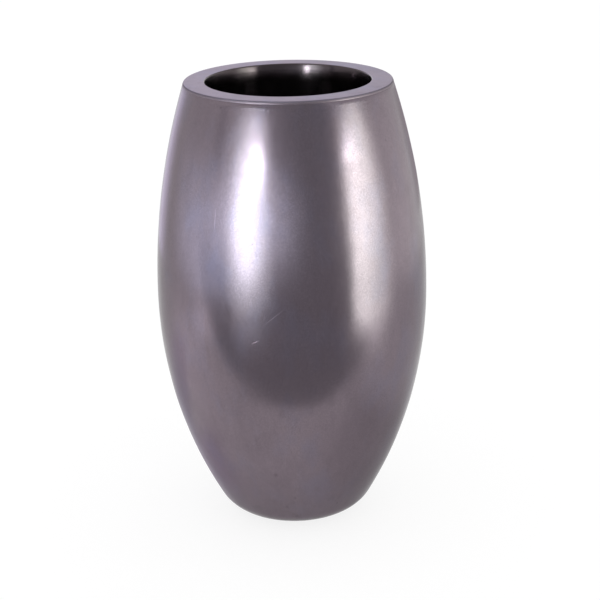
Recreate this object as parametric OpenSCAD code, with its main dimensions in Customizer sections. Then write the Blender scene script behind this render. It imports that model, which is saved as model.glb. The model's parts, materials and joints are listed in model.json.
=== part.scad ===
// Barrel-shaped floor planter: a spun metal shell with a wide flat rim, a dark neck in its mouth
// and a planting insert that hangs in the neck and lifts out by two wire handles.
// The origin is the middle of the footprint on the floor, +Z is up and all sizes are millimetres.

/* [Body] */
// Height from the floor to the flat of the rim
total_h = 750; // [730:5:770]
// Radius of the body at its widest
body_r = 225; // [215:1:236]
// Height of the widest place above the floor
belly_z = 394; // [376:2:410]
// Radius of the body where its side would meet the flat of the rim
rim_r = 168; // [158:1:180]
// Radius of the flat bottom
flat_r = 80; // [72:1:92]
// Radius that rounds the side into the flat bottom
foot_round_r = 60; // [48:1:70]
// Thickness of the shell's wall
shell_wall = 3; // [2:0.5:4]

/* [Rim] */
// Width of the flat rim, from the side to the open mouth
rim_w = 34; // [28:1:40]
// Thickness of the flat rim
rim_t = 5; // [4:0.5:7]
// Radius of the rim's rounded outer edge
rim_edge_r = 3; // [1.5:0.5:3.5]
// Radius of the rolled edge between the rim and its lip
lip_edge_r = 4; // [2:0.5:5]
// Thickness of the lip that the rim turns down into the mouth
lip_t = 3; // [2:0.5:4]
// Depth of that lip below the flat of the rim
lip_drop = 12; // [8:1:18]
// Width of the fine seam between the rim and the shell
seam_w = 0.6; // [0.3:0.1:1]
// Height of the wooden ring that is glued in under the rim
support_h = 20; // [14:1:30]

/* [Neck] */
// Thickness of the dark sleeve in the mouth
sleeve_t = 6; // [4:0.5:8]
// Depth of the insert's seat below the flat of the rim
seat_depth = 74; // [60:1:90]
// Width of the seat
seat_w = 10; // [8:1:14]
// Thickness of the seat
seat_t = 5; // [4:0.5:8]

/* [Insert] */
// Depth of the insert below its flange
pot_depth = 336; // [280:2:380]
// How much smaller the insert's radius is at the bottom than at the top
pot_taper = 24; // [16:1:32]
// Thickness of the insert's wall and bottom
pot_wall = 3; // [2.5:0.5:4]
// Thickness of the flange that the insert hangs by
flange_t = 4; // [3:0.5:6]
// Gap between the flange and the neck
flange_gap = 1.5; // [1:0.25:3]
// Gap between the insert's wall and the seat
pot_gap = 3; // [2:0.5:5]
// Size of the sloping edge round the insert's bottom
pot_edge = 8; // [5:1:12]
// Number of drain holes in the ring in the insert's bottom
pot_drains = 6; // [4:1:10]
// Radius of each drain hole
pot_drain_r = 5; // [3:0.5:7]
// Radius of the circle that the drain holes lie on
pot_drain_ring_r = 55; // [40:1:70]

/* [Handles] */
// Radius of the handle wire
wire_r = 2; // [1.5:0.25:2.5]
// Width of a handle between the middles of its legs
handle_w = 60; // [54:1:64]
// Drop from the pivot to the middle of the grip
handle_drop = 42; // [36:1:48]
// Radius of the bends at the handle's corners
handle_bend_r = 7; // [5:0.5:9]
// Depth of the pivot below the top of the flange
pivot_drop = 15; // [12:0.5:18]
// Distance from the pivot to the face of its plate
pivot_standoff = 5; // [4.5:0.25:6]
// Thickness of the plate and of the strap rolled from it
plate_t = 2; // [1.5:0.25:2.5]
// Height of the plate below the pivot
plate_drop = 22; // [20:1:28]
// Wall of the rolled knuckle round the wire
knuckle_wall = 2; // [1.5:0.25:2.25]
// Distance from the insert's inner wall to the flat face of its pads
pad_depth = 7; // [5:0.5:9]
// Radius of the plate screws
plate_screw_r = 1.8; // [1.5:0.1:2.2]
// Length of the plate screws below the head
plate_screw_len = 8; // [6:0.5:10]

/* [Base] */
// Height of the rubber feet
foot_h = 6; // [5:0.5:10]
// Radius of a rubber foot
foot_r = 14; // [12:0.5:18]
// Distance from the edge of the flat bottom to a foot
foot_inset = 6; // [4:0.5:12]
// Radius of the foot screws
foot_screw_r = 2; // [1.5:0.25:2.5]
// Depth of the foot screws in the wooden disc
foot_screw_grip = 9; // [6:0.5:10.5]
// Thickness of the wooden disc on the shell's bottom
disc_t = 12; // [11:1:18]
// Distance from the edge of the flat bottom to the wooden disc
disc_inset = 3; // [2:0.5:6]
// Thickness of the concrete ballast
ballast_t = 40; // [25:1:50]
// Distance from the shell's wall to the ballast at its underside
ballast_inset = 20; // [10:1:30]

/* [Drain] */
// Radius of the bore in the drain bush
drain_r = 11; // [9:0.5:12]
// Thickness of the bush's wall
bush_wall = 3; // [2:0.5:4]
// Width of the bush's flange beyond its tube
bush_flange_w = 6; // [4:0.5:8]
// Thickness of the bush's flange
bush_flange_t = 2; // [1.5:0.25:2.5]
// Thickness of the rubber seal above the flange
seal_t = 1; // [0.5:0.25:1.5]
// Thickness of the drain nut
nut_t = 8; // [6:0.5:12]
// Width of the nut's corners beyond the bush's tube
nut_w = 7; // [5:0.5:9]
// Height of the bush above its nut
bush_over = 4; // [2:0.5:8]
// Length of the plug inside the bush
plug_len = 16; // [10:1:24]
// Thickness of the plug's head
plug_head_t = 4; // [3:0.5:6]
// Height of the plug's pull tab
tab_h = 14; // [12:1:20]
// Radius of the hole in the pull tab
tab_hole_r = 3.5; // [2:0.5:4]
// Thickness of the pull tab
tab_t = 5; // [3:0.5:6]
// Rubber left round the hole in the pull tab
tab_rim = 4.5; // [3:0.5:5]

/* [Fits] */
// Glue gap between bonded pieces
glue_gap = 0.2; // [0.1:0.05:0.3]
// Radial clearance of the wire in its knuckle
wire_clearance = 0.08; // [0.04:0.01:0.1]
// Radial clearance of the plug in the bush
plug_clearance = 0.07; // [0.03:0.01:0.1]
// Radial clearance of screws, the bush and its nut
screw_clearance = 0.1; // [0.05:0.05:0.3]

/* [Hidden] */
$fn = 96;
// Facets of the large circles that the side is drawn with, and of the shapes turned from it
ARC_FN = 360;
TURN_FN = 180;
// Overshoot of a cut past the faces that it goes through
cut = 1;

// Rounds a length that is worked out, so that the parts of an outline meet with no gap
function rounded(length, step = 0.001) = round(length / step) * step;

mouth_r = rim_r - rim_w;
rim_z = total_h - rim_t;
lip_z = total_h - lip_drop;
seat_z = total_h - seat_depth;

// The body's outline is three circles. Both side curves stand upright at the widest place: the upper one
// ends at rim_r, and the lower one touches the circle that rounds the foot.
round_z = foot_h + foot_round_r;
upper_in = body_r - rim_r;
lower_in = body_r - flat_r;
upper_arc_r = rounded((pow(upper_in, 2) + pow(total_h - belly_z, 2)) / (2 * upper_in), 0.01);
lower_arc_r = rounded((pow(lower_in, 2) + pow(belly_z - round_z, 2) - pow(foot_round_r, 2))
                      / (2 * (lower_in - foot_round_r)), 0.01);
lower_x = body_r - lower_arc_r;
upper_x = body_r - upper_arc_r;
round_x = lower_x + sqrt(pow(lower_arc_r - foot_round_r, 2) - pow(belly_z - round_z, 2));

// Slope of the line along which the foot's rounding meets the lower curve
join_rise = (round_z - belly_z) / (lower_arc_r - foot_round_r);

// Height at which the rounding ends, for an outline drawn in by inset
function join_z(inset) = rounded(round_z + (foot_round_r - inset) * join_rise);

// Radius of the body at height z, for an outline drawn in by inset
function body_at(z, inset = 0) =
    z >= belly_z ? upper_x + sqrt(pow(upper_arc_r - inset, 2) - pow(z - belly_z, 2))
    : z >= join_z(inset) ? lower_x + sqrt(pow(lower_arc_r - inset, 2) - pow(belly_z - z, 2))
    : round_x + sqrt(pow(foot_round_r - inset, 2) - pow(round_z - z, 2));

// The rim's rounded outer edge, tangent to the flat and to the upper curve
edge_z = total_h - rim_edge_r;
edge_x = upper_x + sqrt(pow(upper_arc_r - rim_edge_r, 2) - pow(edge_z - belly_z, 2));
edge_rise = (edge_z - belly_z) / (upper_arc_r - rim_edge_r);
edge_join_z = rounded(edge_z + rim_edge_r * edge_rise);
lip_round_r = min(lip_edge_r, rim_t);

// The insert
pot_top_r = mouth_r - seat_w - pot_gap;
pot_bottom_r = pot_top_r - pot_taper;
pot_z = seat_z - pot_depth;
flange_r = mouth_r - flange_gap;
flange_z = seat_z + flange_t;
function pot_at(z) = pot_top_r - pot_taper * (seat_z - z) / pot_depth;

// The handles, with the right one on the +X side
pivot_z = flange_z - pivot_drop;
pad_x = pot_at(pivot_z) - pot_wall - pad_depth;
plate_x = pad_x - plate_t;
pivot_x = plate_x - pivot_standoff;
knuckle_bore_r = wire_r + wire_clearance;
knuckle_r = knuckle_bore_r + knuckle_wall;
// Play of the knuckle between the handle's bends, at each end
knuckle_play = 2;
plate_w = handle_w - 2 * handle_bend_r - 2 * knuckle_play;
pad_margin = 2;
// Distance of the plate screws from the plate's edges
screw_edge = 8;
screw_y = plate_w / 2 - screw_edge;
screw_z = pivot_z - plate_drop + screw_edge;
plate_hole_r = plate_screw_r + screw_clearance;
plate_head_r = 2 * plate_screw_r;
plate_head_t = 1.5;
screw_spare = 1;
slot_w = 0.8;
slot_depth = 0.7;
SIDES = [0, 180];

// The base and the drain, from the floor up
disc_z = foot_h + shell_wall;
ballast_z = disc_z + disc_t;
ballast_top = ballast_z + ballast_t;
foot_ring_r = flat_r - foot_inset - foot_r;
disc_r = flat_r - disc_inset;
ballast_r = body_at(ballast_z, shell_wall) - ballast_inset;
foot_chamfer = 1;
foot_hole_r = foot_screw_r + screw_clearance;
foot_head_r = 2 * foot_screw_r;
foot_head_t = 2.2;
foot_head_z = 1.4;
foot_recess_r = foot_head_r + 0.5;
foot_slot_w = 1;
foot_slot_depth = 0.8;
FEET = [0, 90, 180, 270];

bush_r = drain_r + bush_wall;
bush_hole_r = bush_r + screw_clearance;
seal_z = foot_h - seal_t;
bush_z = seal_z - bush_flange_t;
bush_flange_r = bush_r + bush_flange_w;
bush_top = ballast_top + nut_t + bush_over;
plug_r = drain_r - plug_clearance;
plug_head_over = 1;
plug_head_r = bush_r + plug_head_over;
tab_r = tab_hole_r + tab_rim;

metal = [0.52, 0.49, 0.53];
rim_metal = [0.62, 0.59, 0.65];
neck_black = [0.10, 0.10, 0.10];
pot_black = [0.14, 0.14, 0.14];
ply = [0.72, 0.56, 0.36];
concrete = [0.62, 0.61, 0.59];
rubber = [0.08, 0.08, 0.08];
steel = [0.75, 0.75, 0.77];

// Moves a shape to [x, z], with x in a coarse and a fine step, because each step keeps six digits
module place(x, z) {
    coarse = rounded(x, 0.01);
    translate([coarse, z]) translate([x - coarse, 0]) children();
}

// Half of the body's outline up to the height top, drawn in by inset on every side but the top
module body_area(inset, top) {
    join = join_z(inset);
    intersection() {
        translate([upper_x, belly_z]) circle(upper_arc_r - inset, $fn = ARC_FN);
        translate([0, belly_z]) square([2 * body_r, top - belly_z]);
    }
    intersection() {
        translate([lower_x, belly_z]) circle(lower_arc_r - inset, $fn = ARC_FN);
        translate([0, join]) square([2 * body_r, belly_z - join]);
    }
    intersection() {
        place(round_x, round_z) circle(foot_round_r - inset);
        translate([0, foot_h]) square([2 * body_r, join - foot_h]);
    }
    translate([0, foot_h + inset]) square([round_x, join - foot_h - inset]);
}

// Lays a shape drawn flat, X across and Y up, into the plane that faces along X
module stand_across() {
    rotate([90, 0, 90]) children();
}

module at_feet() {
    for (a = FEET) rotate(a) translate([foot_ring_r, 0, 0]) children();
}

// Spun shell: one wall from the flat bottom up to the underside of the rim
module outer_shell() {
    top_r = body_at(rim_z);
    color(metal) difference() {
        rotate_extrude($fn = TURN_FN) difference() {
            body_area(0, rim_z);
            body_area(shell_wall, rim_z);
            polygon([[top_r - seam_w, rim_z], [top_r + seam_w, rim_z], [top_r + seam_w, rim_z - 2 * seam_w]]);
        }
        translate([0, 0, foot_h - cut]) cylinder(r = bush_hole_r, h = shell_wall + 2 * cut);
        at_feet() translate([0, 0, foot_h - cut]) cylinder(r = foot_hole_r, h = shell_wall + 2 * cut);
    }
}

// Flat rim with a rounded outer edge and a lip turned down into the mouth
module rim_ring() {
    roll_x = mouth_r + lip_round_r;
    roll_z = total_h - lip_round_r;
    color(rim_metal) rotate_extrude($fn = TURN_FN) {
        translate([roll_x, rim_z]) square([edge_x - roll_x, rim_t]);
        intersection() {
            translate([roll_x, roll_z]) circle(lip_round_r);
            translate([mouth_r, roll_z]) square(lip_round_r);
        }
        translate([mouth_r, rim_z]) square([lip_round_r, roll_z - rim_z]);
        translate([mouth_r, lip_z]) square([lip_t, rim_z - lip_z]);
        intersection() {
            place(edge_x, edge_z) circle(rim_edge_r);
            translate([roll_x, edge_join_z]) square([rim_w, rim_edge_r]);
        }
        intersection() {
            translate([upper_x, belly_z]) circle(upper_arc_r, $fn = ARC_FN);
            translate([roll_x, rim_z]) square([rim_w, edge_join_z - rim_z]);
        }
    }
}

// Wooden ring glued in under the rim, between the neck sleeve and the shell
module support_ring() {
    inner_r = mouth_r + sleeve_t + glue_gap;
    color(ply) rotate_extrude($fn = TURN_FN) intersection() {
        body_area(shell_wall + glue_gap, rim_z);
        translate([inner_r, rim_z - support_h]) square([body_r, support_h]);
    }
}

// Dark sleeve that lines the mouth and ends in the seat for the insert
module neck_sleeve() {
    outer_r = mouth_r + sleeve_t;
    behind_lip_r = mouth_r + lip_t + glue_gap;
    color(neck_black) rotate_extrude($fn = TURN_FN) polygon([
        [mouth_r - seat_w, seat_z - seat_t], [outer_r, seat_z - seat_t], [outer_r, rim_z],
        [behind_lip_r, rim_z], [behind_lip_r, lip_z], [mouth_r, lip_z], [mouth_r, seat_z],
        [mouth_r - seat_w, seat_z]]);
}

// Wooden disc bonded to the shell's bottom, which the foot screws bite into
module base_disc() {
    color(ply) translate([0, 0, disc_z]) difference() {
        cylinder(r = disc_r, h = disc_t);
        translate([0, 0, -cut]) cylinder(r = bush_hole_r, h = disc_t + 2 * cut);
        at_feet() translate([0, 0, -cut]) cylinder(r = foot_hole_r, h = foot_screw_grip + screw_spare + cut);
    }
}

// Cast weight that keeps the narrow foot steady
module ballast_disc() {
    color(concrete) translate([0, 0, ballast_z]) difference() {
        cylinder(r = ballast_r, h = ballast_t, $fn = TURN_FN);
        translate([0, 0, -cut]) cylinder(r = bush_hole_r, h = ballast_t + 2 * cut);
    }
}

// Flanged tube through the bottom, the wooden disc and the ballast
module drain_bush() {
    color(neck_black) difference() {
        union() {
            translate([0, 0, bush_z]) cylinder(r = bush_flange_r, h = bush_flange_t);
            translate([0, 0, bush_z]) cylinder(r = bush_r, h = bush_top - bush_z);
        }
        translate([0, 0, bush_z - cut]) cylinder(r = drain_r, h = bush_top - bush_z + 2 * cut);
    }
}

module drain_seal() {
    color(rubber) translate([0, 0, seal_z]) difference() {
        cylinder(r = bush_flange_r, h = seal_t);
        translate([0, 0, -cut]) cylinder(r = bush_hole_r, h = seal_t + 2 * cut);
    }
}

module drain_nut() {
    color(neck_black) translate([0, 0, ballast_top]) difference() {
        cylinder(r = bush_r + nut_w, h = nut_t, $fn = 6);
        translate([0, 0, -cut]) cylinder(r = bush_hole_r, h = nut_t + 2 * cut);
    }
}

// Rubber plug that is pushed into the bush from inside and pulled out by its tab
module drain_plug() {
    head_top = bush_top + plug_head_t;
    color(rubber) {
        translate([0, 0, bush_top - plug_len]) cylinder(r = plug_r, h = plug_len);
        translate([0, 0, bush_top]) cylinder(r = plug_head_r, h = plug_head_t);
        translate([-tab_t / 2, 0, head_top]) stand_across() linear_extrude(tab_t) difference() {
            union() {
                translate([-tab_r, 0]) square([2 * tab_r, tab_h - tab_r]);
                translate([0, tab_h - tab_r]) circle(tab_r);
            }
            translate([0, tab_h - tab_r]) circle(tab_hole_r);
        }
    }
}

module rubber_feet() {
    color(rubber) at_feet() difference() {
        union() {
            cylinder(r1 = foot_r - foot_chamfer, r2 = foot_r, h = foot_chamfer);
            translate([0, 0, foot_chamfer]) cylinder(r = foot_r, h = foot_h - foot_chamfer);
        }
        translate([0, 0, -cut]) cylinder(r = foot_recess_r, h = foot_head_z + foot_head_t + cut);
        cylinder(r = foot_hole_r, h = foot_h + cut);
    }
}

module foot_screws() {
    shank_z = foot_head_z + foot_head_t;
    color(steel) at_feet() difference() {
        union() {
            translate([0, 0, foot_head_z]) cylinder(r = foot_head_r, h = foot_head_t);
            translate([0, 0, shank_z]) cylinder(r = foot_screw_r, h = disc_z + foot_screw_grip - shank_z);
        }
        translate([-foot_head_r, -foot_slot_w / 2, 0])
            cube([2 * foot_head_r, foot_slot_w, foot_head_z + foot_slot_depth]);
    }
}

// Outline of the insert's outside or inside, from its bottom to the top of the flange
module pot_area(inset) {
    bottom_z = pot_z + inset;
    polygon([
        [0, bottom_z], [pot_bottom_r - inset - pot_edge, bottom_z],
        [pot_at(bottom_z + pot_edge) - inset, bottom_z + pot_edge],
        [pot_top_r - inset, seat_z], [pot_top_r - inset, flange_z], [0, flange_z]]);
}

// Planting insert: a tapered liner with a flange, drain holes and two flat pads for the handle plates
module insert_pot() {
    pad_w = plate_w + 2 * pad_margin;
    pad_z = pivot_z - plate_drop - pad_margin;
    pad_top = pivot_z + knuckle_r + pad_margin;
    half_wall = pot_wall / 2;
    color(pot_black) difference() {
        union() {
            rotate_extrude($fn = TURN_FN) difference() {
                union() {
                    pot_area(0);
                    translate([0, seat_z]) square([flange_r, flange_t]);
                }
                pot_area(pot_wall);
            }
            for (a = SIDES) rotate(a) intersection() {
                translate([pad_x, -pad_w / 2, pad_z]) cube([pot_top_r, pad_w, pad_top - pad_z]);
                translate([0, 0, pot_z]) cylinder(r1 = pot_bottom_r - half_wall,
                    r2 = pot_top_r - half_wall, h = pot_depth, $fn = TURN_FN);
            }
        }
        for (i = [0 : pot_drains - 1]) rotate(i * 360 / pot_drains)
            translate([pot_drain_ring_r, 0, pot_z - cut]) cylinder(r = pot_drain_r, h = pot_wall + 2 * cut);
        at_plate_screws() translate([pad_x - cut, 0, 0]) rotate([0, 90, 0])
            cylinder(r = plate_hole_r, h = plate_screw_len - plate_t + screw_spare + cut);
    }
}

// Places a shape, drawn along X from the axis, at the height and side of each plate screw
module at_plate_screws() {
    for (a = SIDES) rotate(a)
        for (side = [-1, 1]) translate([0, side * screw_y, screw_z]) children();
}

// Plates with a strap rolled into a knuckle that the handle's pivot bar turns in
module handle_plates() {
    strap_drop = 0.3;
    color(steel) difference() {
        for (a = SIDES) rotate(a) translate([0, plate_w / 2, 0]) rotate([90, 0, 0]) linear_extrude(plate_w) {
            difference() {
                union() {
                    translate([pivot_x, pivot_z]) circle(knuckle_r);
                    translate([pivot_x, pivot_z + knuckle_r - strap_drop - plate_t])
                        square([pad_x - pivot_x, plate_t]);
                    translate([plate_x, pivot_z - plate_drop])
                        square([plate_t, plate_drop + knuckle_r - strap_drop]);
                }
                translate([pivot_x, pivot_z]) circle(knuckle_bore_r);
            }
        }
        at_plate_screws() translate([plate_x - cut, 0, 0]) rotate([0, 90, 0])
            cylinder(r = plate_hole_r, h = plate_t + 2 * cut);
    }
}

module plate_screws() {
    head_x = plate_x - plate_head_t;
    color(steel) at_plate_screws() difference() {
        union() {
            translate([head_x, 0, 0]) rotate([0, 90, 0]) cylinder(r = plate_head_r, h = plate_head_t);
            translate([plate_x, 0, 0]) rotate([0, 90, 0]) cylinder(r = plate_screw_r, h = plate_screw_len);
        }
        translate([head_x - cut, -slot_w / 2, -plate_head_r])
            cube([slot_depth + cut, slot_w, 2 * plate_head_r]);
    }
}

// Closed wire loop hanging from its pivot bar, which lies along X at the origin
module wire_loop() {
    side = handle_w / 2 - handle_bend_r;
    low = handle_bend_r - handle_drop;
    for (y = [0, -handle_drop]) translate([0, y, 0]) rotate([0, 90, 0])
        cylinder(r = wire_r, h = 2 * side, center = true, $fn = 48);
    for (x = [-1, 1]) translate([x * handle_w / 2, -handle_drop / 2, 0]) rotate([90, 0, 0])
        cylinder(r = wire_r, h = handle_drop - 2 * handle_bend_r, center = true, $fn = 48);
    for (bend = [[side, -handle_bend_r, 0], [-side, -handle_bend_r, 90], [-side, low, 180], [side, low, 270]])
        translate([bend.x, bend.y, 0]) rotate(bend.z)
            rotate_extrude(angle = 90) translate([handle_bend_r, 0]) circle(wire_r, $fn = 48);
}

module handle(turn) {
    color(steel) rotate(turn) translate([pivot_x, 0, pivot_z]) stand_across() wire_loop();
}

module handle_left() {
    handle(180);
}

module handle_right() {
    handle(0);
}

outer_shell();
rim_ring();
support_ring();
neck_sleeve();
base_disc();
ballast_disc();
drain_bush();
drain_seal();
drain_nut();
drain_plug();
rubber_feet();
foot_screws();
insert_pot();
handle_plates();
plate_screws();
handle_left();
handle_right();
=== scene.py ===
"""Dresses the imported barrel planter: metal shell and rim, dark neck, lift-out insert, base and stage."""

import json
import math

import bpy
from bpy.props import FloatProperty, FloatVectorProperty, PointerProperty
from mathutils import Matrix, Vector

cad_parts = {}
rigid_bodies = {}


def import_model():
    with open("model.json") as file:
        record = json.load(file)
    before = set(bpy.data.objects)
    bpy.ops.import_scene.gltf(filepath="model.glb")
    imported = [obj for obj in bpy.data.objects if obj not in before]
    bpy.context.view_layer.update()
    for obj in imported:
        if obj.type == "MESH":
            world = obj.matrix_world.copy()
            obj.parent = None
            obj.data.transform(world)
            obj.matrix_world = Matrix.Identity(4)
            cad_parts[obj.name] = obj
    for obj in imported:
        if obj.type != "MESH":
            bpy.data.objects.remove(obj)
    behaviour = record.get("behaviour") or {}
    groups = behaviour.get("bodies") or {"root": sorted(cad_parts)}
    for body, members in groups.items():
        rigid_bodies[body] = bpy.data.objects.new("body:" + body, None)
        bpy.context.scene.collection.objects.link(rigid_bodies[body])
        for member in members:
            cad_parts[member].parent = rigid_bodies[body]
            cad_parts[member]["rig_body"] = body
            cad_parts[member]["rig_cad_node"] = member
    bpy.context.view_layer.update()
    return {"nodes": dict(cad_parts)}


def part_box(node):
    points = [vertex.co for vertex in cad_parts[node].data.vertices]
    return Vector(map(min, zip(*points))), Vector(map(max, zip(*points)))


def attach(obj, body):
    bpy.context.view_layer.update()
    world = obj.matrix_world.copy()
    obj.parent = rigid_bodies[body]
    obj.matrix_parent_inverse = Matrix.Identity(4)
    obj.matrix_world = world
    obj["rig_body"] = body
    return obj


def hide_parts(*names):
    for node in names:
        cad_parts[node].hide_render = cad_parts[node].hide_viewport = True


bl_info = {
    "name": "Barrel planter",
    "version": (1, 0, 0),
    "blender": (4, 5, 0),
    "location": "View3D > Sidebar > Planter",
    "description": "Models the looks of a barrel-shaped metal floor planter round its packed frame",
    "category": "Object",
}

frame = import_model()

MM = 0.001
UP = Vector((0, 0, 1))
TURN = 2 * math.pi
SPIN_STEPS = 288
NECK_STEPS = 192
RING_STEPS = 144
MERGE = 1e-6


def top_of(node):
    """Height of a CAD node's highest point."""
    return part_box(node)[1].z


def foot_of(node):
    """Height of a CAD node's lowest point."""
    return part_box(node)[0].z


def reach_of(node):
    """How far a CAD node reaches along X."""
    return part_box(node)[1].x


def shaded(colour, share):
    """A colour made darker or paler by a share."""
    return tuple(min(1.0, c * share) for c in colour)


# Sizes and colours that a user would change


class PlanterSizes(bpy.types.PropertyGroup):
    """Sizes of the planter's metal body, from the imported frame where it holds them"""

    body_r: FloatProperty(name="Body radius", description="Radius of the body at its widest",
                          default=reach_of("outer_shell"), unit="LENGTH", subtype="DISTANCE")
    belly_z: FloatProperty(name="Belly height", description="Height of the widest place above the floor",
                           default=0.394, unit="LENGTH", subtype="DISTANCE")
    upper_arc_r: FloatProperty(name="Upper curve", description="Radius of the side's curve above the belly",
                               default=1.14022, unit="LENGTH", subtype="DISTANCE")
    lower_arc_r: FloatProperty(name="Lower curve", description="Radius of the side's curve below the belly",
                               default=0.73535, unit="LENGTH", subtype="DISTANCE")
    foot_z: FloatProperty(name="Bottom height", description="Height of the flat bottom above the floor",
                          default=foot_of("outer_shell"), unit="LENGTH", subtype="DISTANCE")
    flat_r: FloatProperty(name="Flat radius", description="Radius of the flat bottom",
                          default=0.08, unit="LENGTH", subtype="DISTANCE")
    foot_round_r: FloatProperty(name="Foot rounding", default=0.06,
                                description="Radius between the side and the flat bottom",
                                unit="LENGTH", subtype="DISTANCE")
    wall: FloatProperty(name="Wall", description="Thickness of the shell's wall",
                        default=0.003, unit="LENGTH", subtype="DISTANCE")
    drain_hole_r: FloatProperty(name="Drain hole", description="Radius of the hole in the bottom",
                                default=0.0141, unit="LENGTH", subtype="DISTANCE")
    rim_top: FloatProperty(name="Rim height", description="Height of the flat rim above the floor",
                           default=top_of("rim_ring"), unit="LENGTH", subtype="DISTANCE")
    rim_under: FloatProperty(name="Rim underside", description="Height of the joint between rim and shell",
                             default=top_of("outer_shell"), unit="LENGTH", subtype="DISTANCE")
    rim_edge_r: FloatProperty(name="Rim edge", description="Radius of the rim's rounded outer edge",
                              default=0.003, unit="LENGTH", subtype="DISTANCE")
    mouth_r: FloatProperty(name="Mouth radius", description="Radius of the open mouth",
                           default=0.134, unit="LENGTH", subtype="DISTANCE")
    lip_edge_r: FloatProperty(name="Lip roll", description="Radius of the roll from the rim into the mouth",
                              default=0.0022, unit="LENGTH", subtype="DISTANCE")
    lip_t: FloatProperty(name="Lip thickness", default=0.003,
                         description="Thickness of the lip that turns down into the mouth",
                         unit="LENGTH", subtype="DISTANCE")
    lip_foot: FloatProperty(name="Lip foot", description="Height of the lip's lower edge above the floor",
                            default=foot_of("rim_ring"), unit="LENGTH", subtype="DISTANCE")
    seam: FloatProperty(name="Seam", description="Width of the fine seam under the rim",
                        default=0.0003, unit="LENGTH", subtype="DISTANCE")
    seat_z: FloatProperty(name="Seat height", description="Height of the insert's seat above the floor",
                          default=0.676, unit="LENGTH", subtype="DISTANCE")
    seat_r: FloatProperty(name="Seat radius", description="Radius of the opening in the seat",
                          default=0.124, unit="LENGTH", subtype="DISTANCE")
    liner_top_r: FloatProperty(name="Insert top radius", default=0.121,
                               description="Outer radius of the insert below its flange",
                               unit="LENGTH", subtype="DISTANCE")
    liner_foot_r: FloatProperty(name="Insert foot radius", description="Outer radius of the insert's bottom",
                                default=0.097, unit="LENGTH", subtype="DISTANCE")
    liner_wall: FloatProperty(name="Insert wall", description="Thickness of the insert's bottom",
                              default=0.003, unit="LENGTH", subtype="DISTANCE")
    bead_r: FloatProperty(name="Bead", description="Radius of the stiffening beads round the insert",
                          default=0.0016, unit="LENGTH", subtype="DISTANCE")
    rib_high: FloatProperty(name="Rib height", description="Height of the ribs on the insert's floor",
                            default=0.002, unit="LENGTH", subtype="DISTANCE")
    dent: FloatProperty(name="Hand finish", default=0.00022,
                        description="Depth of the faint waves left by planishing the shell",
                        unit="LENGTH", subtype="DISTANCE")


class PlanterFinish(bpy.types.PropertyGroup):
    """Colours and gloss of the planter's finishes"""

    metal: FloatVectorProperty(name="Metal", description="Colour of the satin metal", subtype="COLOR",
                               size=3, min=0, max=1, default=(0.183, 0.148, 0.172))
    metal_shade: FloatVectorProperty(name="Metal shade", description="Colour of the metal's duller patches",
                                     subtype="COLOR", size=3, min=0, max=1, default=(0.166, 0.134, 0.157))
    # The rim's colour is the shell's metal made paler: painted light on the upward flat
    rim_metal: FloatVectorProperty(name="Rim metal", description="Colour of the rim's flat", subtype="COLOR",
                                   size=3, min=0, max=1, default=(0.34, 0.292, 0.362))
    neck: FloatVectorProperty(name="Neck", description="Colour of the dark lining in the mouth",
                              subtype="COLOR", size=3, min=0, max=1, default=(0.076, 0.062, 0.067))
    gloss: FloatProperty(name="Metal roughness", description="Roughness of the satin metal",
                         subtype="FACTOR", min=0, max=1, default=0.2)
    rim_gloss: FloatProperty(name="Rim roughness", description="Roughness of the duller rim",
                             subtype="FACTOR", min=0, max=1, default=0.44)


class PlanterStage(bpy.types.PropertyGroup):
    """Camera, floor and lights"""

    lens: FloatProperty(name="Lens", description="Focal length of the camera in millimetres", default=90.0,
                        unit="CAMERA")
    camera_y: FloatProperty(name="Camera distance", description="Place of the camera along Y",
                            default=-2.3849, unit="LENGTH", subtype="DISTANCE")
    camera_z: FloatProperty(name="Camera height", description="Height of the camera above the floor",
                            default=1.2242, unit="LENGTH", subtype="DISTANCE")
    tilt: FloatProperty(name="Tilt", description="Angle at which the camera looks down",
                        default=0.3427, unit="ROTATION", subtype="ANGLE")
    turn: FloatProperty(name="Turn", description="Angle by which the camera turns to the right",
                        default=0.0050, unit="ROTATION", subtype="ANGLE")
    roll: FloatProperty(name="Roll", description="Angle by which the camera leans",
                        default=-0.02066, unit="ROTATION", subtype="ANGLE")
    sheet_edge: FloatProperty(name="Sheet edge", description="Place along Y where the white sheet ends",
                              default=-0.49, unit="LENGTH", subtype="DISTANCE")


# Modelling, as by hand


def fresh():
    """Leaves edit mode and selects nothing, so that the next operator acts on the new piece alone."""
    if bpy.context.object and bpy.context.object.mode != "OBJECT":
        bpy.ops.object.mode_set(mode="OBJECT")
    bpy.ops.object.select_all(action="DESELECT")


def edit():
    bpy.ops.object.mode_set(mode="EDIT")


def done():
    bpy.ops.object.mode_set(mode="OBJECT")


def traced(points):
    """Extrudes a line, one vertex after another, through the points of a half outline, and closes it."""
    fresh()
    bpy.ops.mesh.primitive_plane_add(size=MM)
    edit()
    bpy.ops.mesh.select_mode(type="VERT")
    bpy.ops.mesh.merge(type="CENTER")
    bpy.ops.transform.translate(value=Vector((points[0][0], 0, points[0][1])))
    for (x0, z0), (x1, z1) in zip(points, points[1:] + points[:1]):
        bpy.ops.mesh.extrude_region_move(TRANSFORM_OT_translate={"value": (x1 - x0, 0, z1 - z0)})
    bpy.ops.mesh.select_all(action="SELECT")
    bpy.ops.mesh.remove_doubles(threshold=MERGE)


def turned(points, steps=SPIN_STEPS):
    """Spins a closed half outline round the upright axis into a closed solid."""
    traced(points)
    bpy.ops.mesh.spin(steps=steps, angle=TURN, center=(0, 0, 0), axis=UP)
    bpy.ops.mesh.select_all(action="SELECT")
    bpy.ops.mesh.remove_doubles(threshold=MERGE)
    bpy.ops.mesh.normals_make_consistent(inside=False)
    done()
    return bpy.context.object


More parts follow.
